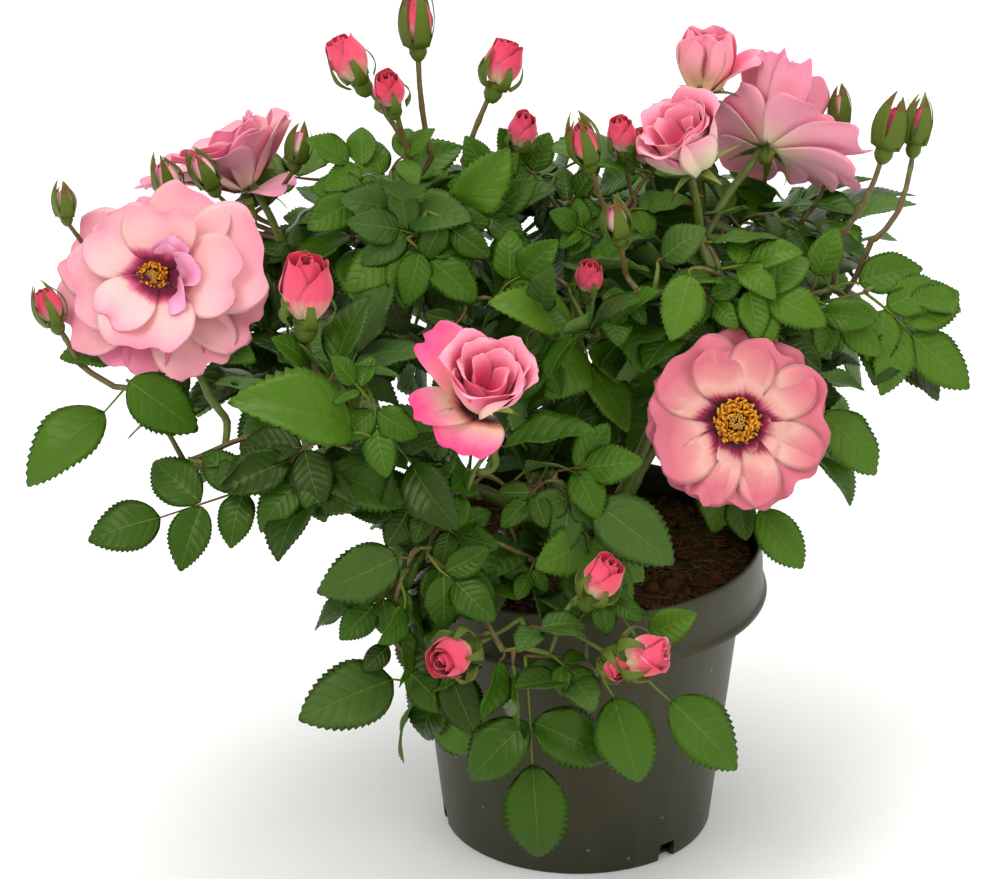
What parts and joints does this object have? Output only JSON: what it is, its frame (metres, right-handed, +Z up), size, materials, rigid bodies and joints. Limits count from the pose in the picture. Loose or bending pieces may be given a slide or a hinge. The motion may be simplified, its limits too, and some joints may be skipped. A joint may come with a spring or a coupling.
{
  "type": "potted rose bush",
  "caption": "Small shrub rose in flower in a round plastic nursery pot, with pink open blooms, buds and arching leafy canes.",
  "frame": {"origin": "centre of the pot's flat underside", "axes": "+Z up along the pot's axis, -Y the front that the large blooms face, +X to the right seen from the front, along the plant's widest spread"},
  "size_m": [0.493, 0.3314, 0.4592],
  "materials": {
    "pot_plastic": "satin injection-moulded polypropylene, olive charcoal",
    "compost": "moist peat and bark compost",
    "stems": "smooth green rose bark, reddish where young",
    "leaves": "semi-gloss rose leaflets",
    "petals": "soft velvety petals, pink with a pale base",
    "buds": "folded coral-pink petals in green sepals"
  },
  "bodies": {
    "root": {"bloom_back_left": "petals", "bloom_centre": "petals", "bloom_front_right": "petals", "bloom_left": "petals", "bloom_right": "petals", "bloom_top_right": "petals", "bloom_upper": "petals", "bough_front_low": "stems", "bough_left_outer": "stems", "bud_far_left": "buds", "bud_far_right": "buds", "bud_far_right_low": "buds", "bud_front_high": "buds", "bud_front_right": "buds", "bud_left_inner": "buds", "bud_middle_low": "buds", "bud_middle_tall": "buds", "bud_top_inner": "buds", "bud_top_left": "buds", "bud_top_right": "buds", "bud_top_tall": "buds", "cane_front": "stems", "cane_left": "stems", "cane_left_back": "stems", "cane_middle_back": "stems", "cane_right": "stems", "cane_right_front": "stems", "cane_top": "stems", "compost": "compost", "leaves_back_left": "leaves", "leaves_back_low": "leaves", "leaves_back_middle": "leaves", "leaves_back_right": "leaves", "leaves_centre": "leaves", "leaves_front_cluster": "leaves", "leaves_front_hanging": "leaves", "leaves_inner_high": "leaves", "leaves_left_low": "leaves", "leaves_left_middle": "leaves", "leaves_left_outer": "leaves", "leaves_left_side": "leaves", "leaves_lower_left": "leaves", "leaves_right_centre": "leaves", "leaves_right_low": "leaves", "leaves_right_side": "leaves", "leaves_right_spray": "leaves", "leaves_right_tip": "leaves", "leaves_right_under": "leaves", "leaves_right_upper": "leaves", "leaves_top": "leaves", "leaves_upper_left": "leaves", "leaves_upper_middle": "leaves", "pot": "pot_plastic", "stem_back_left": "stems", "stem_centre": "stems", "stem_front_right": "stems", "stem_left": "stems", "stem_right": "stems", "stem_top_right": "stems", "stem_upper": "stems"}
  },
  "joints": []
}
